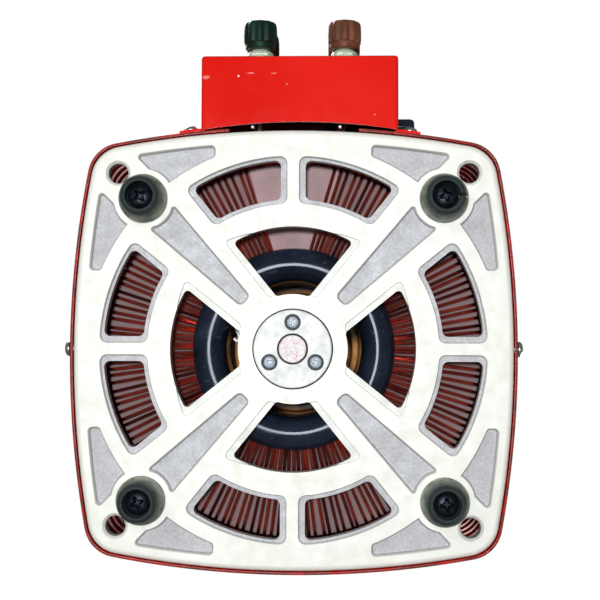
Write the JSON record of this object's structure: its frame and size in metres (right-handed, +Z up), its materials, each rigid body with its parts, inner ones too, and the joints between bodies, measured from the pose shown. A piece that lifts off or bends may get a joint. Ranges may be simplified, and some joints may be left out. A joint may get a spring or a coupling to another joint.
{
  "type": "variable autotransformer",
  "caption": "Bench variable autotransformer: toroidal coil on a cast base with rubber feet under a drawn red cover, with a dial knob and a front box of binding posts, meter and fuse.",
  "frame": {"origin": "on the bench under the middle of the whole object, where the rubber feet stand", "axes": "+Z up along the knob's shaft, -Y towards the front with the terminals and the meter, +X to the right seen from the front"},
  "size_m": [0.1848, 0.2268, 0.1458],
  "materials": {
    "cast_aluminium": "fine sand-cast, pale",
    "red_paint": "gloss enamel",
    "foot_rubber": "matt",
    "dark_screw": "blackened",
    "bright_steel": "satin",
    "black_moulding": "gloss",
    "needle_black": "matt",
    "core_steel": "laminated strip steel",
    "insulation_paper": "mauve pressboard",
    "enamelled_wire": "dark red enamel on copper",
    "phenolic": "orange-brown laminate",
    "brass": "satin",
    "carbon": "graphite",
    "dial_white": "printed",
    "clear_window": "clear",
    "post_green": "dark green",
    "post_brown": "red-brown",
    "lead_brown": "insulated lead",
    "lead_black": "insulated lead"
  },
  "bodies": {
    "frame": {"base": "cast_aluminium", "bearing_flange": "cast_aluminium", "cover": "red_paint", "terminal_box": "red_paint", "foot_front_left": "foot_rubber", "foot_front_right": "foot_rubber", "foot_rear_left": "foot_rubber", "foot_rear_right": "foot_rubber", "foot_screw_front_left": "dark_screw", "foot_screw_front_right": "dark_screw", "foot_screw_rear_left": "dark_screw", "foot_screw_rear_right": "dark_screw", "stop_pin": "bright_steel", "flange_screw_1": "bright_steel", "flange_screw_2": "bright_steel", "flange_screw_3": "bright_steel", "tie_bolt_1": "bright_steel", "tie_bolt_2": "bright_steel", "tie_bolt_3": "bright_steel", "cover_screw_left": "bright_steel", "cover_screw_right": "bright_steel", "cover_screw_lower_left": "bright_steel", "cover_screw_lower_right": "bright_steel", "cover_screw_upper_left": "bright_steel", "cover_screw_upper_right": "bright_steel", "lower_cup": "black_moulding", "meter_case": "black_moulding", "fuse_holder": "black_moulding", "core": "core_steel", "insulation_lower": "insulation_paper", "insulation_upper": "insulation_paper", "winding": "enamelled_wire", "upper_clamp": "phenolic", "upper_bearing": "brass", "pickup": "brass", "post_base_supply_neutral": "brass", "post_base_supply_live": "brass", "post_base_output_neutral": "brass", "post_base_output_live": "brass", "dial_plate": "dial_white", "meter_dial": "dial_white", "meter_window": "clear_window", "lead_winding_start": "lead_brown", "lead_winding_end": "lead_brown", "lead_brush": "lead_brown", "lead_common": "lead_black"},
    "rotor": {"shaft": "bright_steel", "brush_arm": "cast_aluminium", "brush_spring": "bright_steel", "slip_ring": "brass", "knob": "black_moulding", "knob_cap": "bright_steel"},
    "brush": {"carbon_brush": "carbon"},
    "needle": {"meter_needle": "needle_black"},
    "cap_supply_neutral": {"post_cap_supply_neutral": "post_green"},
    "cap_supply_live": {"post_cap_supply_live": "post_brown"},
    "cap_output_neutral": {"post_cap_output_neutral": "post_green"},
    "cap_output_live": {"post_cap_output_live": "post_brown"},
    "fuse": {"fuse_cap": "black_moulding", "fuse_link": "clear_window"}
  },
  "joints": [
    {"name": "knob_turn", "type": "hinge", "parent": "frame", "child": "rotor", "pos_m": [0, 0.02325, 0.1], "axis": [0, 0, -1], "range_deg": [0, 320]},
    {"name": "brush_slide", "type": "slide", "parent": "rotor", "child": "brush", "axis": [0, 0, 1], "range_m": [0, 0.0015], "stiffness_N_per_m": 150, "springref_m": -0.002, "deforming": ["brush_spring"]},
    {"name": "needle_swing", "type": "hinge", "parent": "frame", "child": "needle", "pos_m": [0.0025, -0.10015, 0.075], "axis": [0, 1, 0], "range_deg": [0, 84]},
    {"name": "cap_supply_neutral_unscrew", "type": "slide", "parent": "frame", "child": "cap_supply_neutral", "axis": [0, -1, 0], "range_m": [0, 0.0035]},
    {"name": "cap_supply_live_unscrew", "type": "slide", "parent": "frame", "child": "cap_supply_live", "axis": [0, -1, 0], "range_m": [0, 0.0035]},
    {"name": "cap_output_neutral_unscrew", "type": "slide", "parent": "frame", "child": "cap_output_neutral", "axis": [0, -1, 0], "range_m": [0, 0.0035]},
    {"name": "cap_output_live_unscrew", "type": "slide", "parent": "frame", "child": "cap_output_live", "axis": [0, -1, 0], "range_m": [0, 0.0035]},
    {"name": "fuse_withdraw", "type": "slide", "parent": "frame", "child": "fuse", "axis": [1, 0, 0], "range_m": [0, 0.025]}
  ],
  "couplings": [
    {"joint": "needle_swing", "follows": "knob_turn", "ratio": 0.2625}
  ]
}
